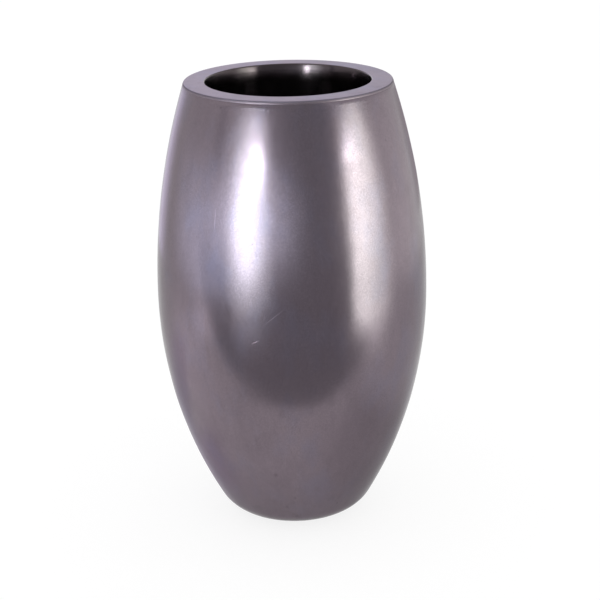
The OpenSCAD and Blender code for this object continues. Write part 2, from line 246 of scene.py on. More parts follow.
def apply(piece, kind, **values):
    """Adds one modifier, sets it and applies it."""
    fresh()
    bpy.context.view_layer.objects.active = piece
    piece.select_set(True)
    modifier = piece.modifiers.new(kind.title(), kind)
    for key, value in values.items():
        setattr(modifier, key, value)
    bpy.ops.object.modifier_apply(modifier=modifier.name)
    return piece


def smooth(piece, angle=30):
    fresh()
    bpy.context.view_layer.objects.active = piece
    piece.select_set(True)
    bpy.ops.object.shade_smooth_by_angle(angle=math.radians(angle))
    return piece


def levelled(piece, angle=35):
    """Shades a piece smoothly, with its flat faces kept flat."""
    return apply(smooth(piece, angle), "WEIGHTED_NORMAL", mode="FACE_AREA", weight=80, keep_sharp=True)


def finished(piece, name, body, slot, *nodes):
    """Names a piece, gives it its finish and lets it ride on its body in place of the CAD nodes."""
    piece.name = piece.data.name = name
    piece.data.materials.clear()
    piece.data.materials.append(finish_of(slot))
    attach(piece, body)
    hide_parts(*nodes)
    return piece


def merged_copy(node, ease=0.0, angle=40, segments=2):
    """A copy of a CAD node with its loose triangles merged and its sharp edges eased."""
    source = frame["nodes"][node]
    fresh()
    bpy.context.view_layer.objects.active = source
    source.select_set(True)
    bpy.ops.object.duplicate()
    piece = bpy.context.object
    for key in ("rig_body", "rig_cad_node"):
        del piece[key]
    edit()
    bpy.ops.mesh.select_all(action="SELECT")
    bpy.ops.mesh.remove_doubles(threshold=2e-6)
    bpy.ops.mesh.dissolve_limited(angle_limit=math.radians(0.2))
    done()
    if ease:
        apply(piece, "BEVEL", width=ease, segments=segments, limit_method="ANGLE",
              angle_limit=math.radians(angle), use_clamp_overlap=True, harden_normals=False)
    return levelled(piece, angle)


def arc(centre, radius, start, end, steps):
    """Points of an arc in the outline's plane, with the angles in degrees from +X."""
    return [(centre[0] + radius * math.cos(math.radians(start + (end - start) * k / steps)),
             centre[1] + radius * math.sin(math.radians(start + (end - start) * k / steps)))
            for k in range(steps + 1)]


# The body's outline: two large arcs that stand upright at the belly, and the foot's rounding


def side_at(s, z, inset=0.0):
    if z >= s.belly_z:
        radius, drop, centre = s.upper_arc_r - inset, z - s.belly_z, s.body_r - s.upper_arc_r
    else:
        radius, drop, centre = s.lower_arc_r - inset, s.belly_z - z, s.body_r - s.lower_arc_r
    return centre + math.sqrt(radius ** 2 - drop ** 2)


def foot_join(s):
    """Angle in degrees, below the horizontal, at which the foot's rounding meets the lower arc."""
    fall = s.belly_z - s.foot_z - s.foot_round_r
    return math.degrees(math.asin(fall / (s.lower_arc_r - s.foot_round_r)))


def body_line(s, inset, top, side_steps, foot_steps):
    """Points of the body's side from the flat bottom up to the height top."""
    centre = (s.flat_r, s.foot_z + s.foot_round_r)
    radius = s.foot_round_r - inset
    points = arc(centre, radius, -90, -foot_join(s), foot_steps)
    low = points[-1][1]
    for k in range(1, side_steps + 1):
        z = low + (top - low) * k / side_steps
        points.append((side_at(s, z, inset), z))
    return points


# Materials

# Scratches and specks on the shell: azimuth in degrees from the camera's side, height, lean in degrees, half
# length, half width, whether the mark is pale and how strongly it shows
MARKS = (
    (-15.2, 0.3825, -26, 0.0085, 0.0011, True, 0.55),
    (-7.4, 0.425, -39, 0.027, 0.001, True, 0.2),
    (-33.4, 0.571, 91, 0.025, 0.0012, True, 0.1),
    (-36.5, 0.7355, 0, 0.002, 0.0016, False, 0.5),
    (-38.9, 0.7365, 0, 0.0016, 0.0012, False, 0.3),
    (-1.0, 0.0806, 0, 0.002, 0.002, False, 0.6),
    (-6.5, 0.058, 0, 0.003, 0.0022, False, 0.5),
    (-10.7, 0.133, 0, 0.004, 0.005, False, 0.35),
    (28.6, 0.0539, 34, 0.0016, 0.0034, False, 0.6),
    (51.8, 0.675, 0, 0.0018, 0.0018, False, 0.45),
)
MARK_DEPTH = 0.01


class Finish:
    """Builds one material: a surface shader with procedural colour, gloss and grain."""

    def __init__(self, name, colour, roughness=0.5, metallic=0.0, **sockets):
        self.made = bpy.data.materials.new(name)
        self.made.use_nodes = True
        self.tree = self.made.node_tree
        self.shader = self.tree.nodes["Principled BSDF"]
        self.put("Base Color", (*colour, 1))
        self.put("Roughness", roughness)
        self.put("Metallic", metallic)
        for key, value in sockets.items():
            self.put(key.replace("_", " "), value)
        self.place = self.node("ShaderNodeTexCoord").outputs["Object"]
        self.normal = None

    def put(self, socket, value):
        self.shader.inputs[socket].default_value = value

    def node(self, kind, **inputs):
        made = self.tree.nodes.new(kind)
        for key, value in inputs.items():
            made.inputs[key.replace("_", " ")].default_value = value
        return made

    def link(self, out, to):
        self.tree.links.new(out, to)

    def noise(self, scale, detail=3.0, stretch=(1, 1, 1), roughness=0.55, distortion=0.0):
        mapping = self.node("ShaderNodeMapping", Scale=stretch)
        self.link(self.place, mapping.inputs["Vector"])
        made = self.node("ShaderNodeTexNoise", Scale=scale, Detail=detail, Roughness=roughness,
                         Distortion=distortion)
        self.link(mapping.outputs["Vector"], made.inputs["Vector"])
        return made.outputs["Fac"]

    def ramp(self, fac, low, high, start, end):
        """Maps a value between start and end to one between low and high, both numbers or both colours."""
        if isinstance(low, (int, float)):
            made = self.node("ShaderNodeMapRange")
            for key, value in (("From Min", start), ("From Max", end), ("To Min", low), ("To Max", high)):
                made.inputs[key].default_value = value
            self.link(fac, made.inputs["Value"])
            return made.outputs["Result"]
        made = self.node("ShaderNodeValToRGB")
        for stop, at, colour in zip(made.color_ramp.elements, (start, end), (low, high)):
            stop.position, stop.color = at, (*colour, 1)
        self.link(fac, made.inputs["Fac"])
        return made.outputs["Color"]

    def over(self, fac, below, above):
        """Lays one colour over another where fac is high."""
        made = self.node("ShaderNodeMix")
        made.data_type = "RGBA"
        self.link(fac, made.inputs["Factor"])
        self.link(below, made.inputs["A"])
        if isinstance(above, (tuple, list)):
            made.inputs["B"].default_value = (*above, 1)
        else:
            self.link(above, made.inputs["B"])
        return made.outputs["Result"]

    def sum(self, first, second, operation="ADD"):
        made = self.node("ShaderNodeMath")
        made.operation = operation
        self.link(first, made.inputs[0])
        if isinstance(second, (int, float)):
            made.inputs[1].default_value = second
        else:
            self.link(second, made.inputs[1])
        return made.outputs[0]

    def colour(self, out):
        self.link(out, self.shader.inputs["Base Color"])

    def gloss(self, out):
        self.link(out, self.shader.inputs["Roughness"])

    def grain(self, height, strength, distance):
        """Lays a bump over those before it."""
        made = self.node("ShaderNodeBump", Strength=strength, Distance=distance)
        self.link(height, made.inputs["Height"])
        if self.normal:
            self.link(self.normal, made.inputs["Normal"])
        self.normal = made.outputs["Normal"]
        self.link(self.normal, self.shader.inputs["Normal"])


def satin_metal(name, colour, shade, gloss):
    """Burnished metal: cloudy patches, upright rubbing streaks, specks and fine grain."""
    f = Finish(name, colour, gloss, 1.0, Specular_Tint=(0.734, 0.734, 0.734, 1))
    clouds = f.noise(9.0, 4.0, (1, 1, 0.7), 0.6, 0.4)
    mottle = f.noise(60.0, 5.0, (1, 1, 0.55), 0.65)
    streaks = f.noise(26.0, 5.0, (1, 1, 0.22), 0.62, 0.2)
    cool = (colour[0] * 0.93, colour[1] * 1.0, colour[2] * 1.09)
    base = f.ramp(clouds, shade, colour, 0.36, 0.58)
    base = f.over(f.ramp(f.noise(17.0, 3.0, (1, 1, 0.5), 0.6), 0.0, 0.75, 0.48, 0.66), base, cool)
    base = f.over(f.ramp(streaks, 0.0, 0.6, 0.5, 0.72), base, shaded(colour, 0.84))
    base = f.over(f.ramp(mottle, 0.0, 0.5, 0.54, 0.74), base, shaded(colour, 0.8))
    base = f.over(f.ramp(mottle, 0.35, 0.0, 0.28, 0.44), base, shaded(colour, 1.14))
    base = f.over(f.ramp(f.noise(230.0, 2.0, (1, 1, 1), 0.5), 0.0, 0.7, 0.71, 0.79), base,
                  shaded(shade, 0.5))
    grains = f.noise(520.0, 2.0, (1, 1, 0.7), 0.6)
    base = f.over(f.ramp(grains, 0.0, 0.5, 0.5, 0.75), base, shaded(colour, 0.78))
    base = f.over(f.ramp(grains, 0.5, 0.0, 0.25, 0.5), base, shaded(colour, 1.2))
    f.colour(base)
    worn = f.ramp(mottle, 0.0, 0.05, 0.45, 0.75)
    f.gloss(f.sum(f.ramp(clouds, gloss + 0.03, gloss - 0.02, 0.3, 0.62), worn))
    f.grain(f.noise(16.0, 2.0, (1, 1, 0.8), 0.4), 0.06, 0.004)
    f.grain(f.noise(320.0, 3.0, (1, 1, 1), 0.6), 0.06, 0.0004)
    return f


def shaded_and_worn_shell(f, s, shade, colour):
    """Darkens the shell towards the foot with painted shade, soils the foot and puts a few scratches and
    specks on it.
    """
    base = f.shader.inputs["Base Color"].links[0].from_socket
    parts = f.node("ShaderNodeSeparateXYZ")
    f.link(f.place, parts.inputs[0])
    # painted shade: the shell darkens smoothly towards the floor, below the soil and marks laid over it
    foot = f.ramp(parts.outputs["Z"], 0.5, 0.0, 0.015, 0.15)
    base = f.over(foot, base, shaded(colour, 0.62))
    soil = f.ramp(f.noise(48.0, 5.0, (1, 1, 1), 0.7), 0.0, 0.8, 0.55, 0.68)
    low = f.ramp(parts.outputs["Z"], 1.0, 0.0, 0.02, 0.085)
    base = f.over(f.sum(soil, low, "MULTIPLY"), base, shaded(shade, 0.5))
    pale, dark = shaded(colour, 3), shaded(shade, 0.4)
    for azimuth, z, lean, long, wide, light, share in MARKS:
        a = math.radians(azimuth)
        out = side_at(s, z)
        mapping = f.node("ShaderNodeMapping", Location=(out * math.sin(a), -out * math.cos(a), z),
                         Rotation=(0, math.radians(lean), a), Scale=(long, MARK_DEPTH, wide))
        mapping.vector_type = "TEXTURE"
        f.link(f.place, mapping.inputs["Vector"])
        away = f.node("ShaderNodeVectorMath")
        away.operation = "LENGTH"
        f.link(mapping.outputs["Vector"], away.inputs[0])
        base = f.over(f.ramp(away.outputs["Value"], share, 0.0, 0.3, 1.0), base, pale if light else dark)
    f.colour(base)
    return f.made


def lacquer(f, shader, top, depth=0.03, flare=0.0032):
    """Sets a shader to near-black lacquer on a turned wall, whose normal leans outwards below the mouth."""
    parts = f.node("ShaderNodeSeparateXYZ")
    f.link(f.place, parts.inputs[0])
    rise = f.ramp(parts.outputs["Z"], 0.0, 1.0, top - depth, top)
    lean = f.node("ShaderNodeBump", Strength=1.0, Distance=flare)
    lean.invert = True
    f.link(f.sum(rise, rise, "MULTIPLY"), lean.inputs["Height"])
    f.link(lean.outputs["Normal"], shader.inputs["Normal"])
    shader.inputs["Metallic"].default_value = 1.0
    shader.inputs["Roughness"].default_value = 0.16
    shader.inputs["Anisotropic"].default_value = 0.8
    shader.inputs["Anisotropic Rotation"].default_value = 0.25


def dark_gloss(name, colour, top):
    """The neck's lacquer, a little dusty."""
    f = Finish(name, colour)
    lacquer(f, f.shader, top)
    dust = f.noise(24.0, 4.0, (1, 1, 1), 0.6)
    f.colour(f.ramp(dust, shaded(colour, 0.85), shaded(colour, 1.2), 0.35, 0.72))
    f.gloss(f.ramp(dust, 0.14, 0.18, 0.35, 0.7))
    return f.made


def rim_with_shaded_edge(f, colours, lip, radius, top):
    """Darkens the rim's turned edge with painted shade, burnishes the side below it and lacquers the lip
    inside the mouth.
    """
    side, edge = colours
    parts = f.node("ShaderNodeSeparateXYZ")
    f.link(f.place, parts.inputs[0])
    height = parts.outputs["Z"]
    # painted shade: a thin band along the turned edge takes the darker edge colour, and is also a little
    # rougher
    shaded_edge_band = f.ramp(height, 1.0, 0.0, top - 0.0010, top - 0.0004)
    below = f.ramp(height, 1.0, 0.0, top - 0.0030, top - 0.0022)
    flat = f.shader.inputs["Base Color"].links[0].from_socket
    f.colour(f.over(below, f.over(shaded_edge_band, flat, edge), side))
    dull = f.shader.inputs["Roughness"].links[0].from_socket
    f.gloss(f.sum(f.sum(dull, f.sum(shaded_edge_band, 0.16, "MULTIPLY")), f.sum(below, -0.22, "MULTIPLY")))
    across = f.sum(f.sum(parts.outputs["X"], parts.outputs["X"], "MULTIPLY"),
                   f.sum(parts.outputs["Y"], parts.outputs["Y"], "MULTIPLY"))
    inner = f.sum(f.sum(across, 0.5, "POWER"), radius, "LESS_THAN")
    low = f.sum(height, top - 0.0002, "LESS_THAN")
    dark = f.node("ShaderNodeBsdfPrincipled")
    dark.inputs["Base Color"].default_value = (*lip, 1)
    lacquer(f, dark, top)
    mix = f.node("ShaderNodeMixShader")
    f.link(f.sum(inner, low, "MULTIPLY"), mix.inputs["Fac"])
    f.link(f.shader.outputs[0], mix.inputs[1])
    f.link(dark.outputs[0], mix.inputs[2])
    f.link(mix.outputs[0], f.tree.nodes["Material Output"].inputs["Surface"])
    return f.made


def moulded_plastic(name, colour, roughness=0.45):
    """Moulded plastic: fine leathery grain, slightly streaked gloss."""
    f = Finish(name, colour, roughness)
    streaks = f.noise(30.0, 3.0, (1, 1, 0.25), 0.55)
    f.colour(f.ramp(streaks, shaded(colour, 0.82), shaded(colour, 1.25), 0.3, 0.7))
    f.gloss(f.ramp(streaks, roughness - 0.06, roughness + 0.08, 0.3, 0.7))
    f.grain(f.noise(900.0, 2.0, (1, 1, 1), 0.5), 0.25, 0.0002)
    return f.made


def soft_rubber(name, colour):
    """Matt rubber with a chalky bloom."""
    f = Finish(name, colour, 0.78, 0.0, Specular_IOR_Level=0.35)
    bloom = f.noise(120.0, 4.0, (1, 1, 1), 0.6)
    f.colour(f.ramp(bloom, shaded(colour, 0.8), shaded(colour, 1.6), 0.35, 0.7))
    f.gloss(f.ramp(bloom, 0.7, 0.86, 0.3, 0.7))
    f.grain(f.noise(700.0, 3.0, (1, 1, 1), 0.6), 0.3, 0.0003)
    return f.made


def bright_steel(name, colour):
    """Zinc-plated steel: fine drawn lines and a faint spangle."""
    f = Finish(name, colour, 0.28, 1.0)
    drawn = f.noise(260.0, 3.0, (1, 0.06, 1), 0.6)
    spangle = f.noise(70.0, 1.0, (1, 1, 1), 0.4)
    f.colour(f.ramp(spangle, shaded(colour, 0.86), colour, 0.4, 0.6))
    f.gloss(f.sum(f.ramp(drawn, 0.22, 0.34, 0.3, 0.7), f.ramp(spangle, 0.0, 0.05, 0.4, 0.6)))
    f.grain(drawn, 0.1, 0.0002)
    return f.made


def sealed_plywood(name, colour):
    """Sealed plywood: long grain on the faces and thin plies round the edge."""
    f = Finish(name, colour, 0.5)
    grain = f.noise(18.0, 6.0, (1, 9, 1), 0.65, 0.6)
    plies = f.node("ShaderNodeTexWave", Scale=90.0, Distortion=0.6, Detail=1.0)
    plies.bands_direction = "Z"
    f.link(f.place, plies.inputs["Vector"])
    base = f.ramp(grain, shaded(colour, 0.72), shaded(colour, 1.08), 0.35, 0.68)
    base = f.over(f.ramp(plies.outputs["Fac"], 0.0, 0.35, 0.5, 0.8), base, shaded(colour, 0.55))
    f.colour(base)
    f.gloss(f.ramp(grain, 0.42, 0.6, 0.3, 0.7))
    f.grain(grain, 0.2, 0.0005)
    return f.made


def cast_concrete(name, colour):
    """Rough cast concrete: pores, cement bloom and grit."""
    f = Finish(name, colour, 0.85)
    bloom = f.noise(14.0, 6.0, (1, 1, 1), 0.65)
    pores = f.node("ShaderNodeTexVoronoi", Scale=190.0)
    f.link(f.place, pores.inputs["Vector"])
    base = f.ramp(bloom, shaded(colour, 0.78), shaded(colour, 1.12), 0.35, 0.68)
    base = f.over(f.ramp(pores.outputs["Distance"], 0.7, 0.0, 0.05, 0.22), base, shaded(colour, 0.5))
    f.colour(base)
    f.grain(pores.outputs["Distance"], 0.5, 0.0012)
    f.grain(f.noise(420.0, 3.0, (1, 1, 1), 0.6), 0.35, 0.0004)
    return f.made


FINISHES = {}


def finish_of(slot):
    """The material of one of the record's slots, made when it is first asked for."""
    if slot not in FINISHES:
        p, s = bpy.context.scene.planter_finish, bpy.context.scene.planter_sizes
        metal, shade, rim, neck = (tuple(c) for c in (p.metal, p.metal_shade, p.rim_metal, p.neck))
        makers = {
            "shell_metal": lambda: shaded_and_worn_shell(satin_metal("shell_metal", metal, shade, p.gloss),
                                              s, shade, metal),
            # rim_metal: the flat's paler colour is painted light, and the turned edge gets a painted shade
            # colour (rim colour at 0.4)
            "rim_metal": lambda: rim_with_shaded_edge(satin_metal("rim_metal", rim, rim, p.rim_gloss),
                                          (metal, shaded(rim, 0.4)), neck,
                                          s.mouth_r + 0.5 * s.lip_edge_r, s.rim_top),
            "neck_gloss": lambda: dark_gloss("neck_gloss", neck, s.rim_top),
            "insert_plastic": lambda: moulded_plastic("insert_plastic", (0.012, 0.012, 0.013), 0.5),
            "drain_plastic": lambda: moulded_plastic("drain_plastic", (0.030, 0.030, 0.032), 0.4),
            "plywood": lambda: sealed_plywood("plywood", (0.48, 0.30, 0.13)),
            "concrete": lambda: cast_concrete("concrete", (0.30, 0.29, 0.27)),
            "rubber": lambda: soft_rubber("rubber", (0.018, 0.018, 0.018)),
            "steel": lambda: bright_steel("steel", (0.55, 0.55, 0.57)),
        }
        FINISHES[slot] = makers[slot]()
    return FINISHES[slot]


# The pieces


class PLANTER_OT_shell(bpy.types.Operator):
    """Spins the metal shell, from the drain hole in the flat bottom up to the joint under the rim"""

    bl_idname = "planter.shell"
    bl_label = "Shell"

    def execute(self, context):
        s = context.scene.planter_sizes
        seam_side = side_at(s, s.rim_under)
        groove_z = s.rim_under - 2 * s.seam
        outside = body_line(s, 0.0, groove_z, 120, 16)
        inside = body_line(s, s.wall, s.rim_under, 36, 8)
        inside.reverse()
        points = [(r, s.foot_z) for r in (s.drain_hole_r, 0.04, 0.07)] + outside
        points += [(seam_side - s.seam, s.rim_under)] + inside
        points += [(s.drain_hole_r, s.foot_z + s.wall)]
        shell = turned(points)
        waves = bpy.data.textures.new("planished waves", "CLOUDS")
        waves.noise_scale = 0.075
        waves.noise_depth = 1
        fresh()
        bpy.context.view_layer.objects.active = shell
        shell.select_set(True)
        group = shell.vertex_groups.new(name="side")
        # The waves die out over these heights towards the rim and the foot
        calm_top, calm_foot = 0.05, 0.04
        for v in shell.data.vertices:
            high, low = (s.rim_under - v.co.z) / calm_top, (v.co.z - s.foot_z) / calm_foot
            group.add([v.index], max(0.0, min(1.0, high, low)), "REPLACE")
        apply(shell, "DISPLACE", texture=waves, strength=s.dent * 2, mid_level=0.62,
              vertex_group=group.name, texture_coords="LOCAL")
        shell.vertex_groups.clear()
        smooth(shell, 40)
        finished(shell, "spun_shell", "planter", "shell_metal", "outer_shell")
        return {"FINISHED"}


class PLANTER_OT_rim(bpy.types.Operator):
    """Spins the flat rim with its rounded outer edge and the lip that rolls down into the mouth"""

    bl_idname = "planter.rim"
    bl_label = "Rim"

    def execute(self, context):
        s = context.scene.planter_sizes
        upper_x = s.body_r - s.upper_arc_r
        edge_z = s.rim_top - s.rim_edge_r
        reach = s.upper_arc_r - s.rim_edge_r
        edge_x = upper_x + math.sqrt(reach ** 2 - (edge_z - s.belly_z) ** 2)
        slope = math.degrees(math.asin((edge_z - s.belly_z) / reach))
        ease, lip_ease = 0.0005, 0.00005
        # Rings of edges hold the side, the lip and the flat in shape where they meet a rounding
        hold, below_roll, above_foot = 0.0015, 0.0006, 0.0008
        flat_rings = (0.155, 0.146)
        under_r = 0.15
        roll = (s.mouth_r + s.lip_edge_r, s.rim_top - s.lip_edge_r)
        out_r = side_at(s, s.rim_under)
        points = arc((out_r - ease, s.rim_under + ease), ease, -90, -10, 3)
        points += [(side_at(s, s.rim_under + hold), s.rim_under + hold)]
        points += arc((edge_x, edge_z), s.rim_edge_r, slope, 90, 10)
        points += [(r, s.rim_top) for r in flat_rings]
        points += arc(roll, s.lip_edge_r, 90, 180, 12)
        points += [(s.mouth_r, roll[1] - below_roll), (s.mouth_r, s.lip_foot + above_foot)]
        points += arc((s.mouth_r + lip_ease, s.lip_foot + lip_ease), lip_ease, 180, 270, 4)
        points += arc((s.mouth_r + s.lip_t - lip_ease, s.lip_foot + lip_ease), lip_ease, 270, 360, 4)
        points += [(s.mouth_r + s.lip_t, s.rim_under), (under_r, s.rim_under)]
        rim = smooth(turned(points), 50)
        finished(rim, "flat_rim", "planter", "rim_metal", "rim_ring")
        return {"FINISHED"}


class PLANTER_OT_neck(bpy.types.Operator):
    """Spins the dark neck lining with the seat that the insert hangs on"""

    bl_idname = "planter.neck"
    bl_label = "Neck"

    def execute(self, context):
        s = context.scene.planter_sizes
        low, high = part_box("neck_sleeve")
        gap, ease, small = 0.0002, 0.0012, 0.0004
        behind = s.mouth_r + s.lip_t + gap
        points = arc((s.seat_r + ease, low.z + ease), ease, 180, 270, 4)
        points += arc((high.x - ease, low.z + ease), ease, 270, 360, 4)
        points += [(high.x, high.z), (behind, high.z), (behind, s.lip_foot), (s.mouth_r, s.lip_foot)]
        points += [(s.mouth_r, s.lip_foot - 0.02), (s.mouth_r, s.seat_z + 0.002)]
        points += arc((s.mouth_r - small, s.seat_z + small), small, 0, -90, 3)
        points += arc((s.seat_r + ease, s.seat_z - ease), ease, 90, 180, 4)
        neck = smooth(turned(points, NECK_STEPS), 40)
        finished(neck, "neck_lining", "planter", "neck_gloss", "neck_sleeve")
        return {"FINISHED"}


def joined(piece, tool):
    """Joins a closed solid to a piece, as one solid."""
    apply(piece, "BOOLEAN", object=tool, operation="UNION", solver="EXACT")
    bpy.data.meshes.remove(tool.data)
    return piece


class PLANTER_OT_insert(bpy.types.Operator):
    """Models the lift-out planting insert with its beads, floor ribs, plates and screws"""

    bl_idname = "planter.insert"
    bl_label = "Insert"

    def execute(self, context):
        s = context.scene.planter_sizes
        liner = merged_copy("insert_pot", 0.0006, 35)
        foot = foot_of("insert_pot")
        floor = foot + s.liner_wall
        # Beads, hub and ribs reach this far into the insert's own walls
        bead_in, bead_back, sink = 0.0004, 0.0018, 0.001
        for share in (0.22, 0.47, 0.72):
            z = foot + share * (s.seat_z - foot)
            wall = s.liner_foot_r + share * (s.liner_top_r - s.liner_foot_r)
            within = wall - bead_back
            bead = turned(arc((wall - bead_in, z), s.bead_r, -90, 90, 8)
                          + [(within, z + s.bead_r), (within, z - s.bead_r)], RING_STEPS)
            joined(liner, bead)
        hub_in, hub_out, rib_out, rib_wide = 0.018, 0.022, 0.088, 0.0025
        hub = turned([(hub_in, floor - sink), (hub_out, floor - sink), (hub_out, floor + s.rib_high),
                      (hub_in, floor + s.rib_high)], RING_STEPS // 2)
        joined(liner, hub)
        rib_in = hub_out - sink
        middle = (rib_in + rib_out) / 2
        for k in range(6):
            a = math.radians(30 + 60 * k)
            fresh()
            bpy.ops.mesh.primitive_cube_add(
                size=1, rotation=(0, 0, a), scale=(rib_out - rib_in, rib_wide, s.rib_high + sink),
                location=(middle * math.cos(a), middle * math.sin(a), floor + (s.rib_high - sink) / 2))
            joined(liner, bpy.context.object)
        liner.data.polygons.foreach_set("material_index", [0] * len(liner.data.polygons))
        levelled(liner)
        finished(liner, "planting_liner", "insert", "insert_plastic", "insert_pot")
        plates = merged_copy("handle_plates", 0.0003, 35)
        finished(plates, "knuckle_plates", "insert", "steel", "handle_plates")
        screws = merged_copy("plate_screws", 0.0003, 35)
        finished(screws, "liner_screws", "insert", "steel", "plate_screws")
        return {"FINISHED"}


class PLANTER_OT_handles(bpy.types.Operator):
    """Smooths the two wire handles that the insert is lifted by"""

    bl_idname = "planter.handles"
    bl_label = "Handles"

    def execute(self, context):
        for side in ("left", "right"):
            node = "handle_" + side
            wire = merged_copy(node, 0, 60)
            finished(wire, "wire_" + side, side + "_grip", "steel", node)
        return {"FINISHED"}


class PLANTER_OT_base(bpy.types.Operator):
    """Dresses the feet, their screws and the drain with its plug"""

    bl_idname = "planter.base"
    bl_label = "Base and drain"

    def execute(self, context):
        for node, name, body, slot, ease in (
                ("rubber_feet", "floor_feet", "planter", "rubber", 0.0006),
                ("foot_screws", "floor_screws", "planter", "steel", 0.0003),
                ("drain_bush", "drain_tube", "planter", "drain_plastic", 0.0005),
                ("drain_seal", "drain_washer", "planter", "rubber", 0.0002),
                ("drain_nut", "tube_nut", "planter", "drain_plastic", 0.0008),
                ("drain_plug", "pull_plug", "plug", "rubber", 0.0008)):
            finished(merged_copy(node, ease, 35), name, body, slot, node)
        return {"FINISHED"}


class PLANTER_OT_inner(bpy.types.Operator):
    """Gives the hidden wooden and concrete parts their finish"""

    bl_idname = "planter.inner"
    bl_label = "Inner parts"

    def execute(self, context):
        for node, slot in (
                ("support_ring", "plywood"),
                ("base_disc", "plywood"),
                ("ballast_disc", "concrete")):
            part = frame["nodes"][node]
            part.data.materials.clear()
            part.data.materials.append(finish_of(slot))
        return {"FINISHED"}


# The stage


def glow(name, colour, strength, fade, covers=False):
    """Glowing material with soft edges. fade gives, for the left, right, lower and upper side, the share of
    the sheet at which its light is full. It adds to what is behind it, or hides that if it covers."""
    made = bpy.data.materials.new(name)
    made.use_nodes = True
    tree = made.node_tree
    tree.nodes.remove(tree.nodes["Principled BSDF"])
    out = tree.nodes["Material Output"]
    place = tree.nodes.new("ShaderNodeUVMap")
    parts = tree.nodes.new("ShaderNodeSeparateXYZ")
    tree.links.new(place.outputs[0], parts.inputs[0])
    share = None
    for axis, start, end in (("X", 0, fade[0]), ("X", 1, fade[1]), ("Y", 0, fade[2]), ("Y", 1, fade[3])):
        if end is None:
            continue
        step = tree.nodes.new("ShaderNodeMapRange")
        step.interpolation_type = "SMOOTHSTEP"
        step.inputs["From Min"].default_value = min(start, end)
        step.inputs["From Max"].default_value = max(start, end)
        step.inputs["To Min"].default_value = 0 if start < end else 1
        step.inputs["To Max"].default_value = 1 if start < end else 0
        tree.links.new(parts.outputs[axis], step.inputs["Value"])
        share = step.outputs[0] if share is None else product(tree, share, step.outputs[0])
    light = tree.nodes.new("ShaderNodeEmission")
    light.inputs["Color"].default_value = (*colour, 1)
    clear = tree.nodes.new("ShaderNodeBsdfTransparent")
    if covers:
        light.inputs["Strength"].default_value = strength
        both = tree.nodes.new("ShaderNodeMixShader")
        tree.links.new(share, both.inputs["Fac"])
        tree.links.new(clear.outputs[0], both.inputs[1])
        tree.links.new(light.outputs[0], both.inputs[2])
    else:
        tree.links.new(product(tree, share, strength), light.inputs["Strength"])
        both = tree.nodes.new("ShaderNodeAddShader")
        tree.links.new(clear.outputs[0], both.inputs[0])
        tree.links.new(light.outputs[0], both.inputs[1])
    tree.links.new(both.outputs[0], out.inputs["Surface"])
    return made


def product(tree, first, second):
    times = tree.nodes.new("ShaderNodeMath")
    times.operation = "MULTIPLY"
    tree.links.new(first, times.inputs[0])
    if isinstance(second, (int, float)):
        times.inputs[1].default_value = second
    else:
        tree.links.new(second, times.inputs[1])
    return times.outputs[0]


def card(name, azimuth, distance, height, width, tall, *light):
    """A card that stands round the object and faces its axis, with its azimuth in degrees from the camera's
    side, the distance from the axis and the height of its middle."""
    a = math.radians(azimuth)
    place = (distance * math.sin(a), -distance * math.cos(a), height)
    lit_sheet(name, place, (math.pi / 2, 0, a), width, tall, light)


def mat(name, place, width, deep, *light):
    """A mat that lies on the floor, with the place of its middle."""
    lit_sheet(name, place, (0, 0, 0), width, deep, light)


def lit_sheet(name, place, turn, width, tall, light):
    """A glowing sheet that shows in reflections alone. light holds colour, strength, fade and covers."""
    fresh()
    bpy.ops.mesh.primitive_plane_add(size=1, location=place, rotation=turn)
    made = bpy.context.object
    made.name = name
    made.scale = (width, tall, 1)
    made.data.materials.append(glow(name.replace("_", " "), *light))
    made.visible_camera = made.visible_diffuse = made.visible_shadow = False
    made.visible_transmission = made.visible_volume_scatter = False


